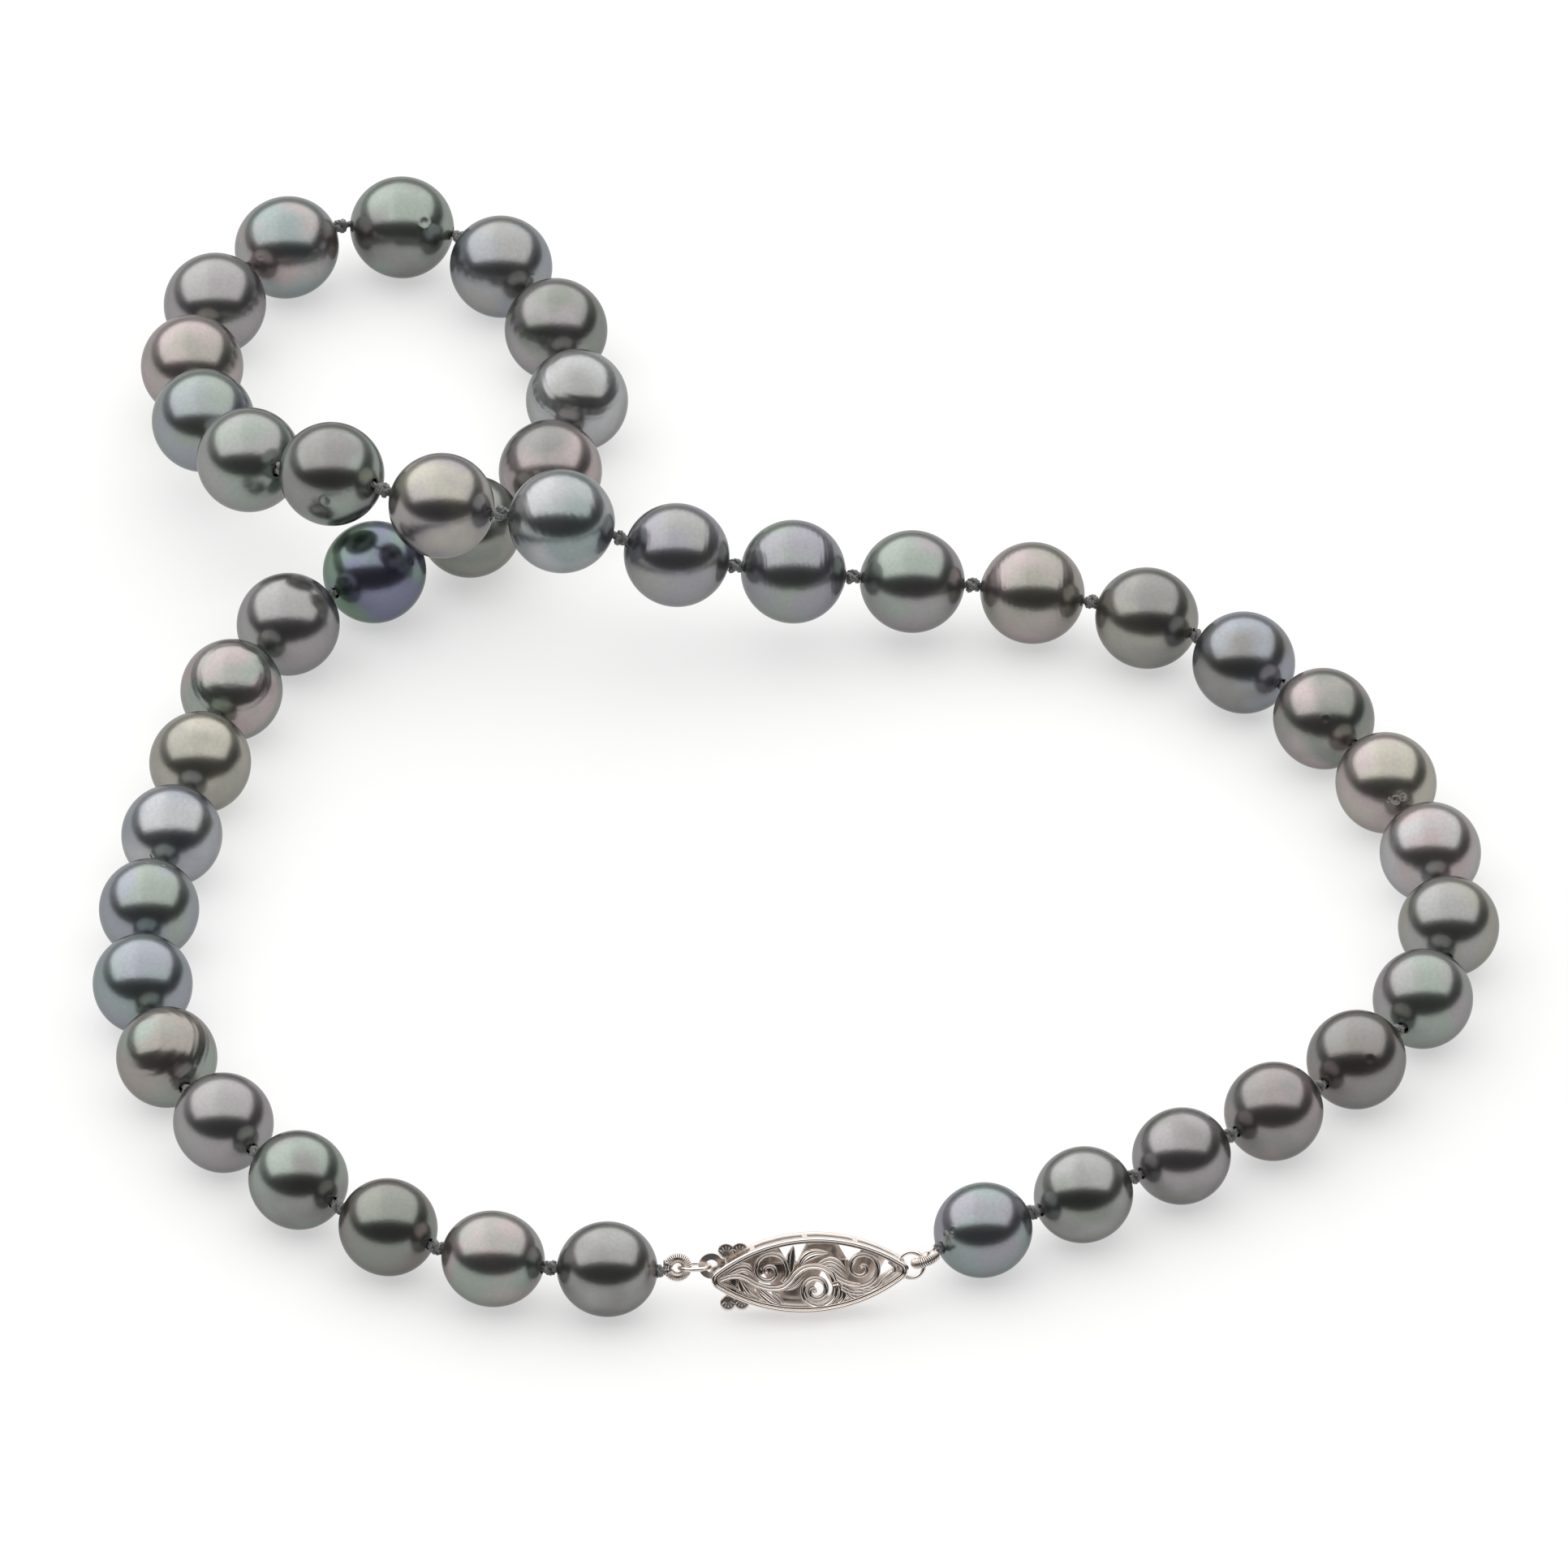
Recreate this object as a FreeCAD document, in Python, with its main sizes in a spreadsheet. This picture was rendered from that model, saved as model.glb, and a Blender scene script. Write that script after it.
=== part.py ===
# A knotted strand of 43 graduated Tahitian pearls with a white gold filigree clasp.
#
# The strand lies on a table, +Z up, in millimetres. It leaves the clasp at the front, runs round
# a large loop, crosses over itself and closes through a small loop. Every pearl is a drilled
# ball of its own. Two silk threads run through them, with a knot in every gap. The clasp stands
# on its lower edge and leans back. Its tongue slides out to the left and carries a spring leaf.
import FreeCAD, Part
import math
import os

Vector = FreeCAD.Vector
Rotation = FreeCAD.Rotation
Placement = FreeCAD.Placement

UP = Vector(0, 0, 1)

# name, value (a number or a formula), what it is
SIZES = [
    ("end_pearl_diameter", "8.5", "the two pearls next to the clasp"),
    ("middle_pearl_diameter", "9.75", "the largest pearl"),
    ("middle_pearl", "22", "number of the largest pearl"),
    ("grading_span", "21", "pearls from the largest to either end"),
    ("pearl_gap", "1.52", "silk between two neighbouring pearls"),
    ("drill_radius", "0.5", "hole through a pearl"),
    ("thread_radius", "0.26", "silk thread"),
    ("knot_radius", "0.62", "silk knot between two pearls"),
    ("end_knot_radius", "0.36", "silk knot between an end pearl and its coil loop"),
    ("crossing_lift", "9.95", "how high the strand is lifted where it crosses itself"),
    ("crossing_pearl", "26", "number of the pearl in the middle of the crossing"),
    ("crossing_flat", "1", "pearls either side of the middle that are lifted fully"),
    ("crossing_fall", "4.6", "pearls over which the lift falls to nothing"),
    ("clasp_half_length", "8.7", "clasp centre to the blunt tip"),
    ("clasp_half_width", "3.35", "clasp centre to the long edge"),
    ("point_half_length", "9.2", "clasp centre to where the two long edges would meet"),
    ("arc_radius", "=(point_half_length^2 + clasp_half_width^2) / (2 * clasp_half_width)", "long edge"),
    ("arc_offset", "=arc_radius - clasp_half_width", "centre of a long edge's arc"),
    ("rim_width", "0.5", "width of the front rim"),
    ("back_rim_width", "0.9", "width of the back rim"),
    ("back_bar_width", "2.3", "slanting bars across the back"),
    ("front_rim_top", "1.5", "front face above the clasp's middle plane"),
    ("front_rim_thickness", "0.8", "front rim, front to back"),
    ("back_rim_low", "-1.5", "back face below the clasp's middle plane"),
    ("back_rim_thickness", "0.45", "back rim, front to back"),
    ("post_radius", "0.24", "posts between the two rims"),
    ("post_length", "=front_rim_top - front_rim_thickness - back_rim_low - back_rim_thickness", "posts"),
    ("scroll_low", "0.74", "underside of the scrollwork"),
    ("scroll_thickness", "0.42", "stems and spirals of the scrollwork"),
    ("leaf_length", "2.1", "a leaf of the scrollwork"),
    ("leaf_thickness", "0.36", "a leaf of the scrollwork"),
    ("tongue_low", "-0.95", "underside of the tongue"),
    ("tongue_thickness", "0.35", "tongue plate"),
    ("tongue_width", "0.8", "tongue plate inside the clasp"),
    ("tongue_inner_end", "3.6", "inner end of the tongue"),
    ("tongue_outer_end", "-7.7", "where the tongue meets its eye"),
    ("tongue_across", "0.5", "middle of the tongue, across the clasp"),
    ("eye_along", "-8.45", "tongue eye, along the clasp"),
    ("eye_across", "0.9", "tongue eye, across the clasp"),
    ("eye_radius", "1.12", "outside of the tongue eye"),
    ("eye_hole_radius", "0.56", "hole of the tongue eye"),
    ("spring_length", "9.4", "spring leaf from its fold to its free end"),
    ("spring_thickness", "0.2", "spring leaf"),
    ("spring_angle", "3.4", "slope of the spring leaf in degrees"),
    ("tab_radius", "0.7", "one lobe of a thumb tab"),
    ("tab_thickness", "0.2", "thumb tabs"),
    ("tab_low", "-0.1", "underside of the thumb tabs"),
    ("ring_radius", "1.35", "left jump ring, to the middle of its wire"),
    ("ring_wire", "0.22", "left jump ring's wire radius"),
    ("right_ring_radius", "1.15", "right jump ring, to the middle of its wire"),
    ("right_ring_wire", "0.2", "right jump ring's wire radius"),
    ("right_ring_along", "9.0", "middle of the right jump ring, along the clasp"),
    ("coil_loop_radius", "0.8", "coil loop, to the middle of its coil"),
    ("coil_radius", "0.4", "outside radius of the coil"),
    ("coil_play", "0.12", "how far a coil loop's middle lies beyond the ring wire it holds"),
    ("end_post_along", "8.45", "post that holds the right jump ring, along the clasp"),
    ("end_post_across", "0.1", "post that holds the right jump ring, across the clasp"),
    ("end_post_radius", "0.28", "post that holds the right jump ring"),
]

PEARL_COUNT = 43
LEFT_BRANCH = 12                      # pearls on the tongue's side of the opened knot
CLASP_CENTRE = Vector(1.0, -76.5, 3.70)
CLASP_TURN = 4.7                      # degrees about +Z
CLASP_LEAN = 62                       # degrees about the clasp's own length

# Where the strand runs on the table, from the first pearl at the clasp's left to the last one.
ROUTE = [
    (-16.6, -76.7), (-31.5, -73.5), (-48.5, -59.5), (-56.5, -46.0), (-54.0, -5.5),
    (-49.0, 11.0), (-39.0, 22.5), (-23.0, 37.5), (-22.5, 60.0), (-38.0, 76.0),
    (-47.5, 73.0), (-55.0, 42.0), (-51.0, 32.5), (-17.5, 17.0), (-0.5, 18.5),
    (28.5, 17.5), (42.0, 8.0), (54.0, -10.0), (57.0, -36.5), (49.5, -48.0),
    (33.5, -61.5), (16.0, -71.5),
]

# Posts between the rims: place along the clasp, and +1 for the upper edge or -1 for the lower.
POSTS = [(-4.8, 1), (-0.2, 1), (4.2, 1), (-3.0, -1), (0.6, -1), (5.0, -1)]

doc = FreeCAD.newDocument("PearlNecklace")
sheet = doc.addObject("Spreadsheet::Sheet", "Sizes")
finished = []


def fill_sheet():
    """Writes every driving size into the sheet under its own name."""
    for row, (name, value, note) in enumerate(SIZES, start=1):
        sheet.set(f"A{row}", name)
        sheet.set(f"B{row}", value)
        sheet.set(f"C{row}", note)
        sheet.setAlias(f"B{row}", name)
    doc.recompute()


def size(name):
    """The value of a named size."""
    return float(sheet.get(name))


def bind(thing, **formulas):
    """Ties properties of an object to the sheet."""
    for name, formula in formulas.items():
        thing.setExpression(name.replace("__", "."), formula)
    return thing


def node(thing, label, place=None):
    """Gives an object its final label and place, and keeps it for export."""
    thing.Label = label
    if place is not None:
        thing.Placement = place
    finished.append(thing)
    return thing


def ball(radius, centre=Vector()):
    """A sphere whose radius follows a formula."""
    thing = doc.addObject("Part::Sphere", "ball")
    thing.Placement = Placement(centre, Rotation())
    return bind(thing, Radius=radius)


def rod(radius, length, start=Vector(), direction=UP):
    """A cylinder whose radius and length follow formulas."""
    thing = doc.addObject("Part::Cylinder", "rod")
    thing.Placement = Placement(start, Rotation(UP, direction))
    return bind(thing, Radius=radius, Height=length)


def block(low, length, width, height):
    """A box from its lowest corner, each side a number or a formula."""
    thing = doc.addObject("Part::Box", "block")
    thing.Placement = Placement(low, Rotation())
    return bind(thing, Length=str(length), Width=str(width), Height=str(height))


def hoop(radius, wire, place):
    """A ring of round wire about the Z axis of its place."""
    thing = doc.addObject("Part::Torus", "hoop")
    bind(thing, Radius1=radius, Radius2=wire)
    thing.Placement = place
    return thing


def cut(base, tool):
    thing = doc.addObject("Part::Cut", "cut")
    thing.Base = base
    thing.Tool = tool
    return thing


def common(*things):
    thing = doc.addObject("Part::MultiCommon", "common")
    thing.Shapes = list(things)
    return thing


def fuse(things):
    thing = doc.addObject("Part::MultiFuse", "joined")
    thing.Shapes = list(things)
    return thing


def group(things):
    """Several separate solids as one sub-part."""
    thing = doc.addObject("Part::Compound", "group")
    thing.Links = list(things)
    return thing


def clasp_frame(local=Placement()):
    """A place given in the clasp's own frame: X along it, Y up its face, Z out of its face."""
    turn = Rotation(UP, CLASP_TURN)
    lean = Rotation(Vector(1, 0, 0), CLASP_LEAN)
    return Placement(CLASP_CENTRE, turn.multiply(lean)).multiply(local)


# ---------------------------------------------------------------- strand layout

def pearl_radius(number):
    """Pearls grow from both ends towards the middle one."""
    ends = size("end_pearl_diameter")
    middle = size("middle_pearl_diameter")
    share = (number - size("middle_pearl")) / size("grading_span")
    return (middle - (middle - ends) * share ** 2) / 2


def pearl_radius_formula(number):
    share = f"(({number} - Sizes.middle_pearl) / Sizes.grading_span)^2"
    growth = "(Sizes.middle_pearl_diameter - Sizes.end_pearl_diameter)"
    return f"(Sizes.middle_pearl_diameter - {growth} * {share}) / 2"


def pearl_height(number):
    """A pearl lies on the table, except near the crossing, where the strand arches over itself."""
    away = abs(number - size("crossing_pearl")) - size("crossing_flat")
    share = min(max(away / size("crossing_fall"), 0), 1)
    return pearl_radius(number) + size("crossing_lift") * (1 - share) ** 2


def next_along(curve, start, here, step):
    """The curve parameter past start whose point lies a straight step away from here."""
    low = start
    high = min(start + 30, curve.LastParameter + 20)
    for _ in range(50):
        middle = (low + high) / 2
        if (route_point(curve, middle) - here).Length < step:
            low = middle
        else:
            high = middle
    return (low + high) / 2


def route_point(curve, parameter):
    """A point of the route. Past its end the route runs straight on."""
    over = parameter - curve.LastParameter
    if over <= 0:
        return curve.value(parameter)
    return curve.value(curve.LastParameter) + curve.tangent(curve.LastParameter)[0] * over


def place_pearls():
    """Pearl centres: each a gap and two radii from the one before it."""
    points = [Vector(x, y, 0) for x, y in ROUTE]
    steps = [0.0]
    for one, other in zip(points, points[1:]):
        steps.append(steps[-1] + (other - one).Length)
    curve = Part.BSplineCurve()
    curve.interpolate(Points=points, Parameters=steps)
    centres = []
    parameter = 0.0
    for number in range(1, PEARL_COUNT + 1):
        height = pearl_height(number)
        if centres:
            reach = pearl_radius(number - 1) + pearl_radius(number) + size("pearl_gap")
            rise = height - centres[-1].z
            flat = Vector(centres[-1].x, centres[-1].y, 0)
            parameter = next_along(curve, parameter, flat, math.sqrt(reach ** 2 - rise ** 2))
        spot = route_point(curve, parameter)
        centres.append(Vector(spot.x, spot.y, height))
    return centres


def unit(vector):
    return vector / vector.Length


def drill_directions(centres, left_end, right_end):
    """Each pearl is drilled straight, along the line between its two neighbours."""
    chain = [left_end] + centres + [right_end]
    return [unit(chain[k + 2] - chain[k]) for k in range(len(centres))]


# ---------------------------------------------------------------- strand sub-parts

def make_pearl(number, centre, direction):
    """A ball with a drill hole along its own Z axis."""
    radius = pearl_radius_formula(number)
    body = ball(radius)
    hole = rod("Sizes.drill_radius", f"2 * ({radius}) + 2")
    hole.setExpression("Placement.Base.z", f"-({radius}) - 1")
    place = Placement(centre, Rotation(UP, direction))
    node(cut(body, hole), f"pearl_{number:02d}", place)


def make_knot(middle, radius, stubs):
    """A knot with a length of thread on each side. A stub is (start, direction, length)."""
    pieces = [ball(radius, middle)]
    along = Vector(stubs[0][1].x, stubs[0][1].y, 0)
    pieces[0].Placement.Rotation = Rotation(Vector(0, 1, 0), along)
    for start, direction, length in stubs:
        pieces.append(rod("Sizes.thread_radius", str(length), start, direction))
    return fuse(pieces)


def knot_middle(k, centres, directions):
    """The middle of knot k, which lies after pearl k. Knots 0 and 43 are the two ends of the strand."""
    before = after = None
    if k > 0:
        before = centres[k - 1] + directions[k - 1] * pearl_radius(k)
    if k < PEARL_COUNT:
        after = centres[k] - directions[k] * pearl_radius(k + 1)
    if k == 0:
        return after - directions[0] * (size("end_knot_radius") + 0.03)
    if k == PEARL_COUNT:
        return before + directions[-1] * (size("end_knot_radius") + 0.03)
    return (before + after) / 2


def make_silk(centres, directions):
    """Two threads. The knot between them belongs to the right one; the left one stops in its last pearl."""
    knots = []
    for k in range(PEARL_COUNT + 1):
        middle = knot_middle(k, centres, directions)
        radius = "Sizes.end_knot_radius" if k in (0, PEARL_COUNT) else "Sizes.knot_radius"
        neighbours = [n for n in (k - 1, k) if 0 <= n < PEARL_COUNT]
        if k == LEFT_BRANCH:
            neighbours.remove(k - 1)
        stubs = []
        for n in neighbours:
            way = directions[n] if n == k - 1 else -directions[n]
            stubs.append((centres[n], way, (middle - centres[n]).dot(way) - 0.05))
        knots.append(make_knot(middle, radius, stubs))
    node(group(knots[:LEFT_BRANCH]), "silk_left")
    node(group(knots[LEFT_BRANCH:]), "silk_right")


# ---------------------------------------------------------------- clasp sub-parts

def marquise(inset, low, height):
    """A pointed oval plate: where two round plates overlap."""
    halves = []
    for side in (1, -1):
        half = rod(f"Sizes.arc_radius - {inset}", height)
        half.setExpression("Placement.Base.y", f"{side} * Sizes.arc_offset")
        half.setExpression("Placement.Base.z", low)
        halves.append(half)
    return common(*halves)


def blunt_box(low, height):
    """A box that cuts the sharp tips off a pointed oval."""
    box = block(Vector(0, -5, 0), "2 * Sizes.clasp_half_length", 10, height)
    box.setExpression("Placement.Base.x", "-Sizes.clasp_half_length")
    box.setExpression("Placement.Base.z", low)
    return box


def rim(low, height, width):
    outside = marquise("0", low, height)
    inside = marquise(width, low, height)
    return common(cut(outside, inside), blunt_box(low, height))


def make_front_rim():
    low = "Sizes.front_rim_top - Sizes.front_rim_thickness"
    node(rim(low, "Sizes.front_rim_thickness", "Sizes.rim_width"), "clasp_front_rim", clasp_frame())


def spiral(middle, outer, inner, start, turns):
    """Points of a spiral from its outer end inwards, start in degrees, turns signed."""
    points = []
    steps = int(abs(turns) * 10)
    for k in range(steps + 1):
        share = k / steps
        radius = outer + (inner - outer) * share
        angle = math.radians(start) + 2 * math.pi * turns * share
        points.append(middle + Vector(math.cos(angle), math.sin(angle), 0) * radius)
    return points


def ribbon(points, wide, narrow, lift=0.0):
    """A flat stem along a smooth curve, tapering from one half-width to another.

    Its two edges are free curves, which no primitive of the document gives, so it is a plain feature.
    """
    line = Part.BSplineCurve()
    line.interpolate(points)
    steps = 6 * len(points)
    edges = ([], [])
    for k in range(steps + 1):
        share = k / steps
        parameter = line.FirstParameter + (line.LastParameter - line.FirstParameter) * share
        across = UP.cross(line.tangent(parameter)[0]) * (wide + (narrow - wide) * share)
        edges[0].append(line.value(parameter) + across)
        edges[1].append(line.value(parameter) - across)
    curves = []
    for edge in edges:
        curve = Part.BSplineCurve()
        curve.interpolate(edge)
        curves.append(curve.toShape())
    caps = [Part.makeLine(edges[0][end], edges[1][end]) for end in (0, -1)]
    outline = Part.Wire(Part.__sortEdges__(curves + caps))
    thing = doc.addObject("Part::Feature", "ribbon")
    thing.Shape = Part.Face(outline).extrude(Vector(0, 0, size("scroll_thickness") + lift))
    return thing


def scroll_leaf(x, y, angle):
    """A small pointed leaf, its length along the given angle."""
    half_length = size("leaf_length") / 2
    half_width = half_length * 0.36
    radius = (half_length ** 2 + half_width ** 2) / (2 * half_width)
    halves = []
    for side in (1, -1):
        half = rod(str(radius), "Sizes.leaf_thickness", Vector(0, side * (radius - half_width), 0))
        halves.append(half)
    leaf = common(*halves)
    leaf.Placement = Placement(Vector(x, y, size("scroll_low") + 0.07), Rotation(UP, angle))
    return leaf


def make_filigree():
    """Scrollwork inside the front rim: a long S stem, its branch to the right, three spirals and leaves."""
    low = size("scroll_low")
    stems = [
        ([(-8.2, -0.35), (-7.1, -0.05), (-6.0, -0.05), (-4.8, -0.65), (-3.4, -1.15), (-2.2, -0.95),
          (-1.1, -0.05), (-0.3, 0.42), (0.6, 0.56), (1.5, 0.25)], 0.2, 0.24),
        ([(1.3, 0.3), (2.1, -0.2), (3.0, -0.9), (4.3, -1.3), (5.9, -1.2), (7.1, -0.55),
          (7.9, 0.05)], 0.2, 0.14),
    ]
    spirals = [((-3.75, 0.3), 1.55, 0.3, -40, 1.6), ((0.45, -1.55), 1.7, 0.3, 62, -1.6),
               ((4.7, 0.35), 1.6, 0.3, 232, 1.6)]
    parts = []
    for count, (points, wide, narrow) in enumerate(stems):
        line = [Vector(x, y, low + 0.01 * count) for x, y in points]
        parts.append(ribbon(line, wide, narrow, 0.05))
    for count, (middle, outer, inner, start, turns) in enumerate(spirals):
        centre = Vector(middle[0], middle[1], low + 0.03 + 0.01 * count)
        parts.append(ribbon(spiral(centre, outer, inner, start, turns), 0.2, 0.12))
    leaves = [(-1.3, 0.7, 80), (0.25, 0.92, 28), (2.25, 0.15, 340), (-6.1, 0.45, 22),
              (-5.5, -0.9, 315), (-3.95, -1.45, 325), (2.3, -1.6, 95), (4.0, -1.75, 345)]
    parts += [scroll_leaf(*spot) for spot in leaves]
    under = "Sizes.front_rim_top - Sizes.front_rim_thickness"
    window = marquise("Sizes.rim_width", under, "Sizes.front_rim_thickness")
    node(common(fuse(parts), window), "clasp_filigree", clasp_frame())


def make_back_plate():
    """The back rim with slanting bars across it."""
    low = "Sizes.back_rim_low"
    height = "Sizes.back_rim_thickness"
    bars = []
    for k, along in enumerate((-5.2, -2.6, 0.0, 2.6, 5.2)):
        bar = block(Vector(), "Sizes.back_bar_width", 8, height)
        turn = 28 if k % 2 else -28
        corner = Placement(Vector(-size("back_bar_width") / 2, -4, 0), Rotation())
        bar.Placement = Placement(Vector(along, 0, 0), Rotation(UP, turn)).multiply(corner)
        bar.setExpression("Placement.Base.z", low)
        bars.append(bar)
    inside = common(fuse(bars), marquise("0.1", low, height))
    whole = fuse([rim(low, height, "Sizes.back_rim_width"), common(inside, blunt_box(low, height))])
    node(whole, "clasp_back_plate", clasp_frame())


def make_posts():
    """Posts on the middle line of both rims."""
    middle_arc = size("arc_radius") - size("rim_width") / 2
    low = size("back_rim_low") + size("back_rim_thickness")
    posts = []
    for along, side in POSTS:
        across = side * (math.sqrt(middle_arc ** 2 - along ** 2) - size("arc_offset"))
        posts.append(rod("Sizes.post_radius", "Sizes.post_length", Vector(along, across, low)))
    node(group(posts), "clasp_posts", clasp_frame())
    place = Vector(size("end_post_along"), size("end_post_across"), low)
    node(rod("Sizes.end_post_radius", "Sizes.post_length", place), "end_post")
    finished[-1].Placement = clasp_frame(Placement(place, Rotation()))


def make_catch_bar():
    """A flat bar under the front rim at the mouth, which the spring leaf snaps behind."""
    top = size("front_rim_top") - size("front_rim_thickness")
    bar = block(Vector(), 0.4, 2.5, 0.3)
    node(bar, "catch_bar", clasp_frame(Placement(Vector(-6.85, -1.25, top - 0.3), Rotation())))


def make_tongue():
    """The flat tongue with the eye that the left jump ring hangs in."""
    low = size("tongue_low")
    thick = "Sizes.tongue_thickness"
    across = size("tongue_across") - size("tongue_width") / 2
    length = "Sizes.tongue_inner_end - Sizes.tongue_outer_end"
    shank = block(Vector(size("tongue_outer_end"), across, low), length, "Sizes.tongue_width", thick)
    shoulder = block(Vector(size("tongue_outer_end") + 0.2, -0.4, low), 2.3, 1.9, thick)
    eye_place = Vector(size("eye_along"), size("eye_across"), low)
    eye = rod("Sizes.eye_radius", thick, eye_place)
    hole = rod("Sizes.eye_hole_radius", "1", eye_place - Vector(0, 0, 0.3))
    node(cut(fuse([shank, shoulder, eye]), hole), "hook_tongue", clasp_frame())


def make_spring_leaf():
    """A leaf folded back over the tongue, ending in the plate that carries the thumb tabs."""
    fold_radius = 0.17
    top_of_tongue = size("tongue_low") + size("tongue_thickness")
    fold_at = Vector(size("tongue_inner_end") - 0.2, 0, top_of_tongue + fold_radius + 0.02)
    across = size("tongue_across") - size("tongue_width") / 2
    fold = rod(str(fold_radius), "Sizes.tongue_width", fold_at + Vector(0, across, 0), Vector(0, 1, 0))
    strip = block(Vector(), "Sizes.spring_length", "Sizes.tongue_width", "Sizes.spring_thickness")
    slope = Rotation(Vector(0, 1, 0), size("spring_angle"))
    shift = Placement(Vector(-size("spring_length"), 0, -size("spring_thickness") / 2), Rotation())
    strip.Placement = Placement(fold_at + Vector(0, across, 0), slope).multiply(shift)
    plate = block(Vector(-7.6, -0.6, size("tab_low")), 1.7, 1.8, "Sizes.tab_thickness")
    node(fuse([fold, strip, plate]), "spring_leaf", clasp_frame())


def make_thumb_tab(label, side):
    """Two round lobes on an arm that reaches out between the rims."""
    low = size("tab_low")
    thick = "Sizes.tab_thickness"
    start = 1.2 if side > 0 else -2.4
    width = 1.2 if side > 0 else 1.8
    arm = block(Vector(-7.3, start, low), 1.5, width, thick)
    lobes = [rod("Sizes.tab_radius", thick, Vector(x, side * 2.35, low)) for x in (-7.15, -5.95)]
    node(fuse([arm] + lobes), label, clasp_frame())


def middle_of_tongue():
    return size("tongue_low") + size("tongue_thickness") / 2


def left_ring_middle():
    """The left jump ring passes through the eye a little off its middle."""
    along = size("eye_along") - 0.15 - size("ring_radius")
    return Vector(along, size("eye_across"), middle_of_tongue())


def left_coil_place():
    """The left coil loop lies in the plane of the clasp's face and holds the ring's far side."""
    along = left_ring_middle().x - size("ring_radius") - size("coil_play")
    return clasp_frame(Placement(Vector(along, size("eye_across"), middle_of_tongue()), Rotation()))


def right_ring_middle():
    return Vector(size("right_ring_along"), 0.15, -0.15)


def right_coil_place(towards):
    """The right coil loop stands across its ring, on the side nearest the last pearl."""
    aim = clasp_frame().inverse().multVec(towards) - right_ring_middle()
    angle = math.degrees(math.atan2(aim.y, aim.x))
    outward = Rotation(UP, angle).multVec(Vector(1, 0, 0))
    middle = right_ring_middle() + outward * (size("right_ring_radius") + size("coil_play"))
    upright = Rotation(UP, angle).multiply(Rotation(Vector(1, 0, 0), 90))
    return clasp_frame(Placement(middle, upright))


def make_rings():
    upright = Rotation(Vector(1, 0, 0), 90)
    left = hoop("Sizes.ring_radius", "Sizes.ring_wire",
                clasp_frame(Placement(left_ring_middle(), upright)))
    node(left, "jump_ring_left")
    right = hoop("Sizes.right_ring_radius", "Sizes.right_ring_wire",
                 clasp_frame(Placement(right_ring_middle(), Rotation())))
    node(right, "jump_ring_right")


def make_coil_loops(left, right):
    node(hoop("Sizes.coil_loop_radius", "Sizes.coil_radius", left), "gimp_left")
    node(hoop("Sizes.coil_loop_radius", "Sizes.coil_radius", right), "gimp_right")


# ---------------------------------------------------------------- build and export

def check_and_export():
    """Every sub-part must be whole before it is written."""
    os.makedirs("parts", exist_ok=True)
    doc.recompute()
    for thing in doc.Objects:
        if "Invalid" in thing.State or "Error" in thing.State:
            raise RuntimeError(f"{thing.Name} ({thing.Label}) did not build: {thing.State}")
    for thing in finished:
        shape = thing.Shape
        if shape.isNull() or not shape.isValid():
            raise RuntimeError(f"{thing.Label} has no sound shape")
        if min(solid.Volume for solid in shape.Solids) <= 0:
            raise RuntimeError(f"{thing.Label} has an inside-out solid")
        shape.exportStep(f"parts/{thing.Label}.step")
        print(thing.Label, "solids", len(shape.Solids), "volume", round(shape.Volume, 3))


def build():
    fill_sheet()
    centres = place_pearls()
    left = left_coil_place()
    right = right_coil_place(centres[-1])
    directions = drill_directions(centres, left.Base, right.Base)
    for number, (centre, direction) in enumerate(zip(centres, directions), start=1):
        make_pearl(number, centre, direction)
    make_silk(centres, directions)
    make_front_rim()
    make_filigree()
    make_back_plate()
    make_posts()
    make_catch_bar()
    make_tongue()
    make_spring_leaf()
    make_thumb_tab("tab_upper", 1)
    make_thumb_tab("tab_lower", -1)
    make_rings()
    make_coil_loops(left, right)
    check_and_export()


build()
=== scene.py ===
"""The looks of a knotted strand of dark pearls with an openwork clasp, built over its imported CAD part.

Sizes called millimetres are in millimetres; Blender's own coordinates are the part's row frame, in metres.
"""
import math

import bpy
import numpy as np
from mathutils import Matrix, Vector


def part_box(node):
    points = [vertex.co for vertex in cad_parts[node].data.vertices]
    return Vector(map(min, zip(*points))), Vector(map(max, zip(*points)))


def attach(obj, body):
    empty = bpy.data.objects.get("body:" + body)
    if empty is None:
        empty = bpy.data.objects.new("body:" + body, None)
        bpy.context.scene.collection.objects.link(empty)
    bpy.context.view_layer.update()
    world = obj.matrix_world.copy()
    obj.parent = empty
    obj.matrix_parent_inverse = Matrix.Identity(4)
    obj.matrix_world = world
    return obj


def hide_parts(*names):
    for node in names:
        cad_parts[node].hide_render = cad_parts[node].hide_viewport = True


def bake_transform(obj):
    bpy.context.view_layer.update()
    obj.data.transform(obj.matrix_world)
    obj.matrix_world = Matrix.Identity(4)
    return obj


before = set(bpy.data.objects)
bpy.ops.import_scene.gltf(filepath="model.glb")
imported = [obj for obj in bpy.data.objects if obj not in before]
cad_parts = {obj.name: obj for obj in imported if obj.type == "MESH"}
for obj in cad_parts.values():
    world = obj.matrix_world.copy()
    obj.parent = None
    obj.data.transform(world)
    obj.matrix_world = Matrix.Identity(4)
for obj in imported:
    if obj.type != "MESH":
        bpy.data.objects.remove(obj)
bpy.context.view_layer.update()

MM = 0.001
UP = Vector((0, 0, 1))

PEARL_COUNT = 43
OPENED_KNOT = 12            # the knot after this pearl is the one left open in the tree of joints
OPENED_FROM = 14            # its thread starts at this step, just outside the pearl before it
DRILL_RADIUS = 0.5          # millimetres, as are all lengths below unless they say otherwise

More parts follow.
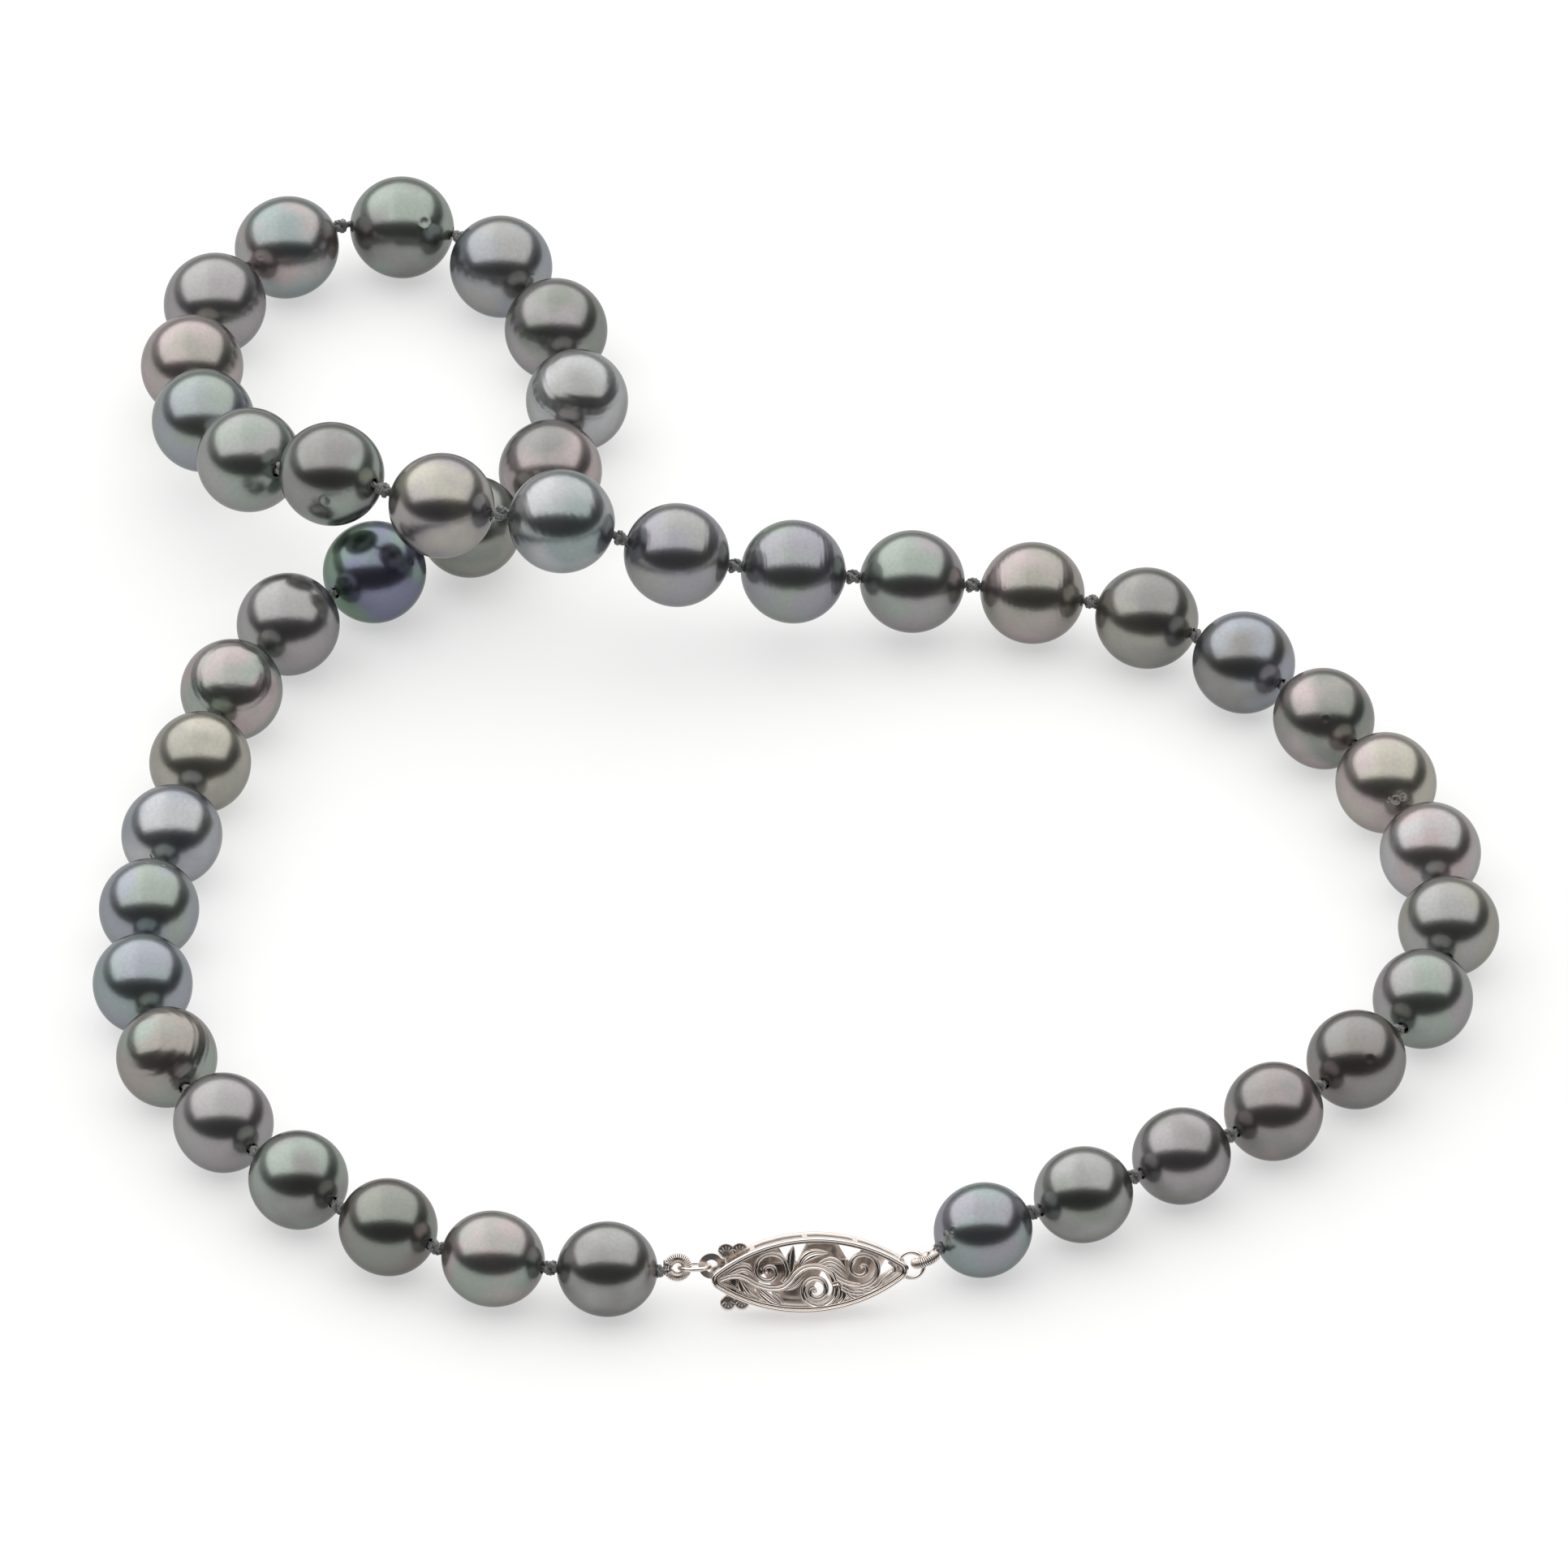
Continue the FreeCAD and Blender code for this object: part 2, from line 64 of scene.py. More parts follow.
VIEW_HEIGHT = math.radians(38.18)      # how far the camera looks down
VIEW_DISTANCE = 1.61                   # metres
VIEW_TARGET = Vector((-0.00115, -0.00271, 0))
LENS = 407                             # on a 36 mm sensor

# ---------------------------------------------------------------- colours

NACRE = {
    "grey": (0.275, 0.275, 0.272),
    "smoke": (0.215, 0.213, 0.208),
    "silver": (0.345, 0.350, 0.358),
    "blue": (0.255, 0.272, 0.302),
    "teal": (0.238, 0.280, 0.278),
    "green": (0.252, 0.286, 0.258),
    "moss": (0.202, 0.216, 0.194),
    "olive": (0.276, 0.272, 0.240),
    "gold": (0.350, 0.338, 0.292),
    "bronze": (0.270, 0.250, 0.232),
    "brown": (0.215, 0.197, 0.188),
    "mauve": (0.276, 0.260, 0.270),
    "violet": (0.262, 0.256, 0.288),
    "pink": (0.345, 0.298, 0.298),
    "rose": (0.280, 0.242, 0.246),
    "peacock": (0.165, 0.240, 0.180),
    "ink": (0.165, 0.172, 0.245),
}

# Each pearl's two overtones, in the strand's order from the clasp's left end.
OVERTONES = [
    ("grey", "smoke"), ("pink", "green"), ("brown", "moss"), ("green", "smoke"), ("mauve", "grey"),
    ("bronze", "green"), ("teal", "blue"), ("green", "blue"), ("silver", "blue"), ("olive", "gold"),
    ("green", "pink"), ("grey", "mauve"), ("ink", "peacock"), ("olive", "moss"), ("pink", "smoke"),
    ("silver", "grey"), ("mauve", "moss"), ("blue", "grey"), ("smoke", "green"), ("pink", "teal"),
    ("mauve", "grey"), ("olive", "pink"), ("blue", "green"), ("green", "grey"), ("green", "smoke"),
    ("gold", "mauve"), ("silver", "teal"), ("violet", "grey"), ("green", "violet"), ("green", "mauve"),
    ("olive", "pink"), ("olive", "smoke"), ("blue", "smoke"), ("pink", "moss"), ("gold", "pink"),
    ("pink", "silver"), ("olive", "grey"), ("green", "mauve"), ("smoke", "brown"), ("rose", "smoke"),
    ("mauve", "smoke"), ("moss", "grey"), ("teal", "violet"),
]

# Growth marks on single pearls: the kind, the direction their axis points in, and how strong they are.
# The kinds differ in how many bands cross a pearl.
GROWTH_BANDS = {"lines": 2.2, "rings": 2.6, "streaks": 3.2}
GROWTH = {
    6: ("lines", (-0.45, -0.35, 0.8), 0.15),
    11: ("rings", (0.1, -0.5, 0.85), 0.13),
    16: ("rings", (0.2, -0.2, 1.0), 0.08),
    27: ("lines", (0.5, 0.1, 0.2), 0.07),
    28: ("streaks", (1.0, 0.0, -0.1), 0.05),
    29: ("streaks", (1.0, 0.1, 0.0), 0.08),
    31: ("streaks", (1.0, 0.0, 0.1), 0.06),
}

# How much longer than wide some pearls are, along their drill hole.
OVAL = {1: 0.04, 2: 0.06, 20: 0.03, 42: 0.03, 43: 0.045}

# Pits and dents on single pearls: direction, size in degrees across, depth in millimetres.
PITS = {
    5: [((0.5, -0.8, 0.0), 9, 0.04)],
    8: [((0.0, 0.25, 0.95), 4, 0.05), ((0.3, 0.2, 0.92), 4, 0.05), ((-0.4, -0.05, 0.9), 3, 0.03)],
    9: [((-0.5, -0.85, 0.1), 4, 0.05), ((-0.35, -0.9, 0.2), 3, 0.04)],
    12: [((0.6, -0.35, 0.7), 4, 0.012)],
    13: [((0.72, -0.40, 0.55), 5, 0.03), ((0.60, -0.62, 0.50), 3, 0.03), ((0.80, -0.55, 0.25), 3, 0.02)],
    15: [((-0.1, 0.25, 0.95), 4, 0.04)],
    18: [((0.55, -0.75, 0.2), 8, 0.05)],
    19: [((0.45, -0.65, 0.6), 9, 0.06), ((0.6, -0.65, 0.45), 6, 0.05), ((0.35, -0.8, 0.5), 5, 0.05)],
    20: [((0.6, -0.7, 0.4), 5, 0.04), ((-0.45, -0.8, 0.35), 4, 0.04)],
    25: [((-0.1, -0.98, 0.1), 8, 0.06)],
    34: [((0.0, -0.8, 0.6), 6, 0.04)],
    35: [((0.15, -0.93, 0.3), 7, 0.09), ((0.3, -0.9, 0.35), 5, 0.07), ((0.05, -0.95, 0.35), 4, 0.06)],
    39: [((0.25, -0.75, 0.6), 8, 0.04)],
    43: [((-0.6, -0.6, 0.5), 5, 0.04), ((-0.7, -0.5, 0.35), 5, 0.04)],
}


# ---------------------------------------------------------------- the frame's own places

def node_box_centre(name):
    low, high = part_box(name)
    return (low + high) / 2


def pearl_node(number):
    return f"pearl_{number:02d}"


def pearl_radius(number):
    low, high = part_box(pearl_node(number))
    return max(high - low) / 2


CENTRES = [node_box_centre(pearl_node(n)) for n in range(1, PEARL_COUNT + 1)]
RADII = [pearl_radius(n) for n in range(1, PEARL_COUNT + 1)]
CHAIN = [node_box_centre("gimp_left")] + CENTRES + [node_box_centre("gimp_right")]
DRILLED = [(CHAIN[n + 2] - CHAIN[n]).normalized() for n in range(PEARL_COUNT)]


def stretch(number):
    """How many times longer than its packed ball a pearl is along its drill hole."""
    return 1 + OVAL.get(number, 0.01)


def drilled_end(number, side):
    """Where the hole of a pearl comes out: side is 1 towards the next pearl, -1 towards the one before."""
    return CENTRES[number - 1] + DRILLED[number - 1] * (side * RADII[number - 1] * stretch(number))


def drill_turn(number):
    """The turn that takes a pearl's own Z axis to its drilled direction."""
    return UP.rotation_difference(DRILLED[number - 1]).to_matrix()


def clasp_frame():
    """The clasp's own axes: X along it, Y across it, Z out of its front face. Its unit is a millimetre."""
    front_middle = 1.1      # the height of the front rim's middle over the clasp's own middle
    front = node_box_centre("clasp_front_rim")
    back = node_box_centre("clasp_back_plate")
    out = (front - back).normalized()
    along = UP.cross(out).normalized()
    across = out.cross(along)
    middle = front - out * front_middle * MM
    turn = Matrix((along, across, out)).transposed().to_4x4()
    return Matrix.Translation(middle) @ turn @ Matrix.Scale(MM, 4)


CLASP = clasp_frame()


# ---------------------------------------------------------------- meshes

def mesh_piece(name, points, faces, place=None, smooth=True):
    """A piece with a mesh of its own. place is a matrix that takes the points to the row frame."""
    mesh = bpy.data.meshes.new(name)
    if place is not None:
        points = [place @ Vector(p) for p in points]
    mesh.from_pydata([tuple(p) for p in points], [], faces)
    mesh.update()
    if smooth:
        mesh.polygons.foreach_set("use_smooth", [True] * len(mesh.polygons))
    piece = bpy.data.objects.new(name, mesh)
    bpy.context.scene.collection.objects.link(piece)
    return piece


def grid_faces(rows, columns, wrap_rows=False, wrap_columns=True, start=0):
    """Quads between neighbouring rows of points, the first and last joined where wrap says so."""
    faces = []
    for row in range(rows if wrap_rows else rows - 1):
        for column in range(columns if wrap_columns else columns - 1):
            right = (column + 1) % columns
            below = (row + 1) % rows
            faces.append((start + row * columns + column, start + row * columns + right,
                          start + below * columns + right, start + below * columns + column))
    return faces


def merge(parts):
    """One list of points and one of faces from several."""
    points, faces = [], []
    for some_points, some_faces in parts:
        base = len(points)
        points += some_points
        faces += [tuple(i + base for i in face) for face in some_faces]
    return points, faces


def smooth_path(points, steps):
    """A Catmull-Rom curve through points, with that many steps between neighbours."""
    points = [Vector(p) for p in points]
    ends = [2 * points[0] - points[1]] + points + [2 * points[-1] - points[-2]]
    path = []
    for k in range(1, len(ends) - 2):
        before, here, there, after = ends[k - 1:k + 3]
        for step in range(steps):
            t = step / steps
            path.append(0.5 * (2 * here + (there - before) * t
                               + (2 * before - 5 * here + 4 * there - after) * t * t
                               + (3 * here - before - 3 * there + after) * t ** 3))
    path.append(points[-1])
    return path


def frames_along(path, closed=False, normal=None):
    """Right-handed axes at each point of a path, turned as little as possible from one to the next."""
    count = len(path)
    frames = []
    for k in range(count):
        before = path[k - 1] if k or closed else path[0]
        after = path[(k + 1) % count] if k < count - 1 or closed else path[-1]
        tangent = (after - before).normalized()
        if normal is None:
            normal = tangent.orthogonal().normalized()
        normal = (normal - tangent * normal.dot(tangent)).normalized()
        frames.append((tangent, normal, tangent.cross(normal)))
    return frames


def tube(path, radius, sides=12, closed=False):
    """A round tube along a path. radius is a number or one number per point."""
    frames = frames_along(path, closed)
    points = []
    for k, (spot, (_, normal, side)) in enumerate(zip(path, frames)):
        size = radius[k] if hasattr(radius, "__len__") else radius
        for j in range(sides):
            angle = 2 * math.pi * j / sides
            points.append(spot + (normal * math.cos(angle) + side * math.sin(angle)) * size)
    faces = grid_faces(len(path), sides, wrap_rows=closed)
    if not closed:
        faces.append(tuple(range(sides))[::-1])
        faces.append(tuple(range(len(points) - sides, len(points))))
    return points, faces


def twisted_plies(path, ply_radius, turns):
    """A thread of three plies twisted about a path. ply_radius is in millimetres."""
    plies = 3
    sides = 7
    pressed = 0.01
    offset = (ply_radius - pressed) * MM
    frames = frames_along(path)
    parts = []
    for ply in range(plies):
        line = []
        for k, (spot, (_, normal, side)) in enumerate(zip(path, frames)):
            angle = 2 * math.pi * (ply / plies + turns * k / (len(path) - 1))
            line.append(spot + (normal * math.cos(angle) + side * math.sin(angle)) * offset)
        parts.append(tube(line, ply_radius * MM, sides))
    return merge(parts)


# ---------------------------------------------------------------- materials

def add_node(tree, kind, inputs=None, **settings):
    """A shader node with its settings and its input values, or the sockets that feed them."""
    made = tree.nodes.new(kind)
    for name, value in settings.items():
        setattr(made, name, value)
    for name, value in (inputs or {}).items():
        if isinstance(value, bpy.types.NodeSocket):
            tree.links.new(value, made.inputs[name])
        else:
            made.inputs[name].default_value = value
    return made


def new_material(name):
    material = bpy.data.materials.new(name)
    material.use_nodes = True
    return material, material.node_tree, material.node_tree.nodes["Principled BSDF"]


def unit_coordinates(tree, radius, shift):
    """The place on a pearl as a share of its radius, shifted so that no two pearls share a pattern."""
    where = add_node(tree, "ShaderNodeTexCoord")
    return add_node(tree, "ShaderNodeMapping", {
        "Vector": where.outputs["Object"],
        "Scale": (1 / radius, 1 / radius, 1 / radius),
        "Location": (shift, 0.7 * shift, -1.3 * shift),
    }).outputs["Vector"]


def growth_height(tree, kind, turn, radius):
    """Height of the fine growth marks: wavy bands stacked along an axis."""
    where = add_node(tree, "ShaderNodeTexCoord")
    placed = add_node(tree, "ShaderNodeMapping", {
        "Vector": where.outputs["Object"],
        "Rotation": turn,
        "Scale": (1 / radius, 1 / radius, 1 / radius),
    })
    wave = add_node(tree, "ShaderNodeTexWave", {
        "Vector": placed.outputs["Vector"],
        "Scale": GROWTH_BANDS[kind],
        "Distortion": 2.5,
        "Detail": 3.0,
        "Detail Scale": 1.6,
    }, wave_type="BANDS", bands_direction="Z", wave_profile="SIN")
    return wave.outputs["Fac"]


def nacre_material(number, radius):
    """Dark nacre: a satin mirror whose overtone drifts over the pearl."""
    material, tree, shader = new_material(f"nacre_{number:02d}")
    first, second = OVERTONES[number - 1]
    spot = unit_coordinates(tree, radius, 3.1 * number)
    drift = add_node(tree, "ShaderNodeTexNoise", {"Vector": spot, "Scale": 1.0, "Detail": 1.5})
    share = add_node(tree, "ShaderNodeMapRange", {
        "Value": drift.outputs["Fac"], "From Min": 0.40, "From Max": 0.60,
    })
    overtone = add_node(tree, "ShaderNodeMix", {
        "Factor": share.outputs["Result"], "A": (*NACRE[first], 1), "B": (*NACRE[second], 1),
    }, data_type="RGBA")
    specks = add_node(tree, "ShaderNodeTexNoise", {
        "Vector": spot, "Scale": 14.0, "Detail": 6.0, "Roughness": 0.6,
    })
    depth = add_node(tree, "ShaderNodeMapRange", {
        "Value": specks.outputs["Fac"], "To Min": 0.86, "To Max": 1.14,
    })
    colour = add_node(tree, "ShaderNodeVectorMath", {
        0: overtone.outputs["Result"], 1: depth.outputs["Result"],
    }, operation="MULTIPLY")
    tree.links.new(colour.outputs["Vector"], shader.inputs["Base Color"])
    shader.inputs["Metallic"].default_value = 0.92
    shader.inputs["Roughness"].default_value = 0.24
    shader.inputs["Specular Tint"].default_value = (0.55, 0.55, 0.55, 1)
    shader.inputs["Coat Weight"].default_value = 0.12
    shader.inputs["Coat Roughness"].default_value = 0.06
    bump = add_node(tree, "ShaderNodeBump", {
        "Height": specks.outputs["Fac"], "Strength": 0.16, "Distance": 0.00005,
    })
    if number in GROWTH:
        kind, axis, strength = GROWTH[number]
        local_axis = drill_turn(number).transposed() @ Vector(axis)
        turn = local_axis.rotation_difference(UP).to_euler()
        marks = growth_height(tree, kind, turn, radius)
        bump = add_node(tree, "ShaderNodeBump", {
            "Height": marks, "Strength": strength, "Distance": 0.00008, "Normal": bump.outputs["Normal"],
        })
    tree.links.new(bump.outputs["Normal"], shader.inputs["Normal"])
    return material


def silk_material():
    material, tree, shader = new_material("silk")
    where = add_node(tree, "ShaderNodeTexCoord")
    fibres = add_node(tree, "ShaderNodeTexNoise", {
        "Vector": where.outputs["Object"], "Scale": 9000.0, "Detail": 3.0,
    })
    shade = add_node(tree, "ShaderNodeMapRange", {
        "Value": fibres.outputs["Fac"], "From Min": 0.3, "From Max": 0.7, "To Min": 0.07, "To Max": 0.24,
    })
    tree.links.new(shade.outputs["Result"], shader.inputs["Base Color"])
    shader.inputs["Roughness"].default_value = 0.42
    shader.inputs["Specular IOR Level"].default_value = 0.7
    shader.inputs["Sheen Weight"].default_value = 0.25
    bump = add_node(tree, "ShaderNodeBump", {
        "Height": fibres.outputs["Fac"], "Strength": 0.4, "Distance": 0.00004,
    })
    tree.links.new(bump.outputs["Normal"], shader.inputs["Normal"])
    return material


def gold_material(name, roughness, marks):
    """White gold. marks is the strength of its fine file marks."""
    material, tree, shader = new_material(name)
    where = add_node(tree, "ShaderNodeTexCoord")
    grain = add_node(tree, "ShaderNodeTexNoise", {
        "Vector": where.outputs["Object"], "Scale": 1400.0, "Detail": 4.0,
    })
    shader.inputs["Base Color"].default_value = (0.76, 0.69, 0.645, 1)
    shader.inputs["Metallic"].default_value = 1.0
    shader.inputs["Roughness"].default_value = roughness
    bump = add_node(tree, "ShaderNodeBump", {
        "Height": grain.outputs["Fac"], "Strength": marks, "Distance": 0.00006,
    })
    tree.links.new(bump.outputs["Normal"], shader.inputs["Normal"])
    return material


SILK = silk_material()
POLISHED = gold_material("white_gold_polished", 0.13, 0.12)
STAMPED = gold_material("white_gold_stamped", 0.30, 0.35)
DRAWN = gold_material("white_gold_wire", 0.16, 0.05)


def metal(piece, material):
    piece.data.materials.clear()
    piece.data.materials.append(material)


# ---------------------------------------------------------------- pearls

def pearl_profile(radius, rows):
    """The outline of a drilled ball, from the middle of its hole over the outside and back into the hole.

    Each point is (distance from the axis, place along the axis, is it on the outside).
    """
    lip = 0.07
    near_lip = 0.5
    first = math.asin((DRILL_RADIUS + lip) / radius)
    top = radius * math.cos(first)
    profile = [(DRILL_RADIUS, 0.0, False), (DRILL_RADIUS, top - near_lip, False)]
    for angle in (0.0, math.pi / 4):
        profile.append((DRILL_RADIUS + lip * (1 - math.cos(angle)),
                        top - lip * (1 - math.sin(angle)), False))
    for row in range(rows + 1):
        angle = first + (math.pi - 2 * first) * row / rows
        profile.append((radius * math.sin(angle), radius * math.cos(angle), True))
    mirrored = [(across, -along, outside) for across, along, outside in profile[3:0:-1]]
    return profile + mirrored


def uneven(directions, number):
    """How much a pearl's surface stands out or in at each direction, as a share of its radius."""
    waves = 7
    wave_height = 0.0055
    deepest_waist = 0.015
    chance = np.random.default_rng(number)
    swell = np.zeros(len(directions))
    for _ in range(waves):
        axis = chance.normal(size=3)
        axis /= np.linalg.norm(axis)
        speed = chance.uniform(1.2, 4.5)
        swell += chance.uniform(0.4, 1.0) * np.sin(speed * directions @ axis + chance.uniform(0, 6.3)) / speed
    swell = wave_height * (swell - swell.max())
    waist = chance.uniform(0.0, deepest_waist) * (1 - directions[:, 2] ** 2)
    return swell - waist


def dents(directions, number, to_local, radius):
    """Depth of the pits of one pearl and of the low lips round them, as a share of its radius."""
    lip_height, lip_place, lip_width = 0.35, 1.7, 0.6
    depth = np.zeros(len(directions))
    for way, across, deep in PITS.get(number, []):
        axis = np.array(to_local @ Vector(way).normalized())
        angle = np.arccos(np.clip(directions @ axis, -1, 1))
        size = math.radians(across) / 2
        bowl = np.exp(-(angle / size) ** 2)
        lip = lip_height * np.exp(-((angle - lip_place * size) / (lip_width * size)) ** 2)
        depth += (bowl - lip) * deep / radius
    return depth


def make_pearl(number, rows=96, columns=160):
    """One drilled pearl, a little uneven, with its own pits. It stays round near its hole."""
    round_width = 1.2
    radius = RADII[number - 1] / MM
    profile = pearl_profile(radius, rows)
    turns = np.arange(columns) * 2 * math.pi / columns
    points = np.array([(across * np.cos(turns), across * np.sin(turns), np.full(columns, along))
                       for across, along, outside in profile])
    points = points.transpose(0, 2, 1).reshape(-1, 3)
    outside = np.repeat([row[2] for row in profile], columns)
    turn = drill_turn(number)
    directions = points / np.linalg.norm(points, axis=1)[:, None]
    change = uneven(directions, number) - dents(directions, number, turn.transposed(), radius)
    fade = np.clip((np.hypot(points[:, 0], points[:, 1]) - DRILL_RADIUS) / round_width, 0, 1)
    points *= (1 + change * fade * outside)[:, None]
    points[:, 2] *= stretch(number)
    faces = grid_faces(len(profile), columns, wrap_rows=True)
    pearl = mesh_piece(f"pearl_skin_{number:02d}", points * MM, [face[::-1] for face in faces])
    pearl.matrix_world = Matrix.Translation(CENTRES[number - 1]) @ turn.to_4x4()
    pearl.data.materials.append(nacre_material(number, RADII[number - 1]))
    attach(pearl, pearl_node(number))
    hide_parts(pearl_node(number))


# ---------------------------------------------------------------- silk

THREAD_DEPTH = 1.4          # how far the thread is drawn into each pearl
THREAD_STEPS = 9            # from one set point of its line to the next


def knot_wrap(middle, along, radius, height, ply_radius, turns):
    """A tight overhand knot about the strand's line: twisted thread on a trefoil, flattened along it."""
    steps = 72
    lobe = 0.42
    side = along.orthogonal().normalized()
    other = along.cross(side)
    path = []
    for k in range(steps):
        angle = 2 * math.pi * k / steps
        ring = radius * MM * (1 + lobe * math.cos(3 * angle))
        path.append(middle + (side * math.cos(2 * angle) + other * math.sin(2 * angle)) * ring
                    + along * height * MM * math.sin(3 * angle))
    return twisted_plies(path + path[:1], ply_radius, turns)


def silk_piece(name, parts):
    """A piece of silk thread."""
    piece = mesh_piece(name, *merge(parts))
    piece.data.materials.append(SILK)
    return piece


def thread_between(number):
    """The line of the thread from inside one pearl to inside the next, its knot's middle and its way."""
    before = drilled_end(number, 1)
    after = drilled_end(number + 1, -1)
    middle = (before + after) / 2
    back = DRILLED[number - 1] * THREAD_DEPTH * MM
    on = DRILLED[number] * THREAD_DEPTH * MM
    part_way = 0.35
    line = smooth_path([before - back, before - back * part_way, middle, after + on * part_way, after + on],
                       THREAD_STEPS)
    return line, middle, (after - before).normalized()


def make_knot(number):
    """The knot after a pearl, with the thread on both sides of it."""
    line, middle, along = thread_between(number)
    if number == OPENED_KNOT:
        line = line[OPENED_FROM:]
    thread = twisted_plies(line, ply_radius=0.16, turns=3.5)
    wrap = knot_wrap(middle, along, radius=0.34, height=0.42, ply_radius=0.14, turns=9)
    knot = silk_piece(f"knot_{number:02d}_{number + 1:02d}", [thread, wrap])
    if number == OPENED_KNOT:
        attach(knot, pearl_node(number + 1))
    else:
        first, second = pearl_node(number), pearl_node(number + 1)
        if number > OPENED_KNOT:
            first, second = second, first
            line = line[::-1]
        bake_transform(knot)


def make_end_thread(number, side, end):
    """The knot between an end pearl and its coil. side is 1 at the hole's far end, -1 at its near end."""
    reach = 0.55
    knot_place = 0.10
    way = (node_box_centre(f"gimp_{end}") - CENTRES[number - 1]).normalized()
    start = drilled_end(number, side)
    inside = start - DRILLED[number - 1] * side * THREAD_DEPTH * MM
    line = smooth_path([inside, start, start + way * reach * MM], 12)
    thread = twisted_plies(line, ply_radius=0.15, turns=2)
    wrap = knot_wrap(start + way * knot_place * MM, way, radius=0.30, height=0.18, ply_radius=0.12, turns=7)
    piece = silk_piece(f"end_thread_{end}", [thread, wrap])
    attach(piece, pearl_node(number))
    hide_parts(f"silk_{end}")


def make_silk():
    for number in range(1, PEARL_COUNT):
        make_knot(number)
    make_end_thread(1, -1, "left")
    make_end_thread(PEARL_COUNT, 1, "right")


# ---------------------------------------------------------------- rings and coils

def ring_axis(node):
    """The middle and axis of a flat ring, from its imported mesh."""
    points = np.array([v.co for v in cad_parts[node].data.vertices])
    middle = points.mean(axis=0)
    _, vectors = np.linalg.eigh(np.cov((points - middle).T))
    return Vector(middle), Vector(vectors[:, 0]).normalized()


def circle(middle, axis, radius, count, start=0.0, sweep=2 * math.pi, zero=None):
    """Points of a circle or a part of one about an axis. zero is the way in which its angle is 0."""
    zero = (zero - axis * zero.dot(axis)).normalized() if zero else axis.orthogonal().normalized()
    side = axis.cross(zero)
    angles = [start + sweep * k / count for k in range(count)]
    return [middle + (zero * math.cos(a) + side * math.sin(a)) * radius for a in angles]


def make_jump_ring(node, body, radius, wire):
    """A round wire ring with the fine cut where it was closed."""
    steps = 96
    cut_at = 70
    cut_share = 0.93
    middle, axis = ring_axis(node)
    path = circle(middle, axis, radius * MM, steps)
    sizes = [wire * MM * (cut_share if k == cut_at else 1.0) for k in range(steps)]
    ring = mesh_piece(node + "_wire", *tube(path, sizes, 24, closed=True))
    metal(ring, DRAWN)
    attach(ring, body)
    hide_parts(node)


def make_coil(node, number):
    """A thread guard at an end pearl: fine wire wound into a coil, bent round into a loop over the thread."""
    loop_radius = 0.84
    coil_radius = 0.40
    wire = 0.06
    turns = 38
    leg_length = 0.45
    leg_steps = 16
    gap = math.radians(20)
    middle, axis = ring_axis(node)
    to_pearl = (CENTRES[number - 1] - middle).normalized()
    loop = circle(middle, axis, loop_radius * MM, 240, gap, 2 * math.pi - 2 * gap, to_pearl)
    leg = to_pearl * leg_length * MM
    path = [loop[0] + leg * (1 - k / leg_steps) for k in range(leg_steps)] + loop
    path += [loop[-1] + leg * (k / leg_steps) for k in range(1, leg_steps + 1)]
    fine = smooth_path(path, 5)
    line = []
    for k, (spot, (_, normal, side)) in enumerate(zip(fine, frames_along(fine, normal=axis))):
        angle = 2 * math.pi * turns * k / (len(fine) - 1)
        line.append(spot + (normal * math.cos(angle) + side * math.sin(angle)) * coil_radius * MM)
    coil = mesh_piece(node + "_coil", *tube(line, wire * MM, 6))
    metal(coil, DRAWN)
    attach(coil, pearl_node(number))
    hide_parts(node)
    inner = silk_piece(node + "_thread", [tube(path, (coil_radius - wire) * MM, 8)])
    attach(inner, pearl_node(number))


# ---------------------------------------------------------------- clasp rims

HALF_LENGTH = 8.7           # to the blunt tip
HALF_WIDTH = 3.35
POINT_HALF_LENGTH = 9.2     # to where the two edges would meet
ARC_RADIUS = (POINT_HALF_LENGTH ** 2 + HALF_WIDTH ** 2) / (2 * HALF_WIDTH)
BACK_BAR_WIDTH = 2.3


def edge_at(along):
    """How far its outline is from the clasp's long axis, at a place along that axis."""
    return math.sqrt(ARC_RADIUS ** 2 - along ** 2) - ARC_RADIUS + HALF_WIDTH


def rim_outline(per_side=90):
    """The pointed oval with its two tips rounded off, anticlockwise, in the clasp's frame."""
    upper = []
    for k in range(per_side + 1):
        along = HALF_LENGTH - 2 * HALF_LENGTH * k / per_side
        upper.append(Vector((along, edge_at(along), 0)))
    outline = [-p for p in upper] + upper
    count = len(outline)
    for _ in range(3):
        outline = [(outline[k - 1] + 2 * outline[k] + outline[(k + 1) % count]) / 4 for k in range(count)]
    return outline


def swept_rim(outline, section):
    """A band along the outline. section gives (inset from the edge, height) points going round it."""
    count = len(outline)
    points = []
    for k in range(count):
        tangent = (outline[(k + 1) % count] - outline[k - 1]).normalized()
        inward = Vector((-tangent.y, tangent.x, 0))
        for inset, height in section:
            points.append(outline[k] + inward * inset + Vector((0, 0, height)))
    return points, grid_faces(count, len(section), wrap_rows=True)


def make_front_rim():
    """The front rim: a rounded outer lip, a fine groove and a lower inner ledge."""
    section = [(0.02, 0.70), (0.0, 0.78), (0.0, 1.30), (0.03, 1.42), (0.10, 1.49), (0.19, 1.50),
               (0.26, 1.46), (0.29, 1.36), (0.31, 1.24), (0.36, 1.22), (0.44, 1.27), (0.50, 1.25),
               (0.53, 1.16), (0.53, 0.76), (0.48, 0.70)]
    rim = mesh_piece("front_rim", *swept_rim(rim_outline(), section), CLASP)
    metal(rim, POLISHED)
    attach(rim, "clasp")
    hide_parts("clasp_front_rim")


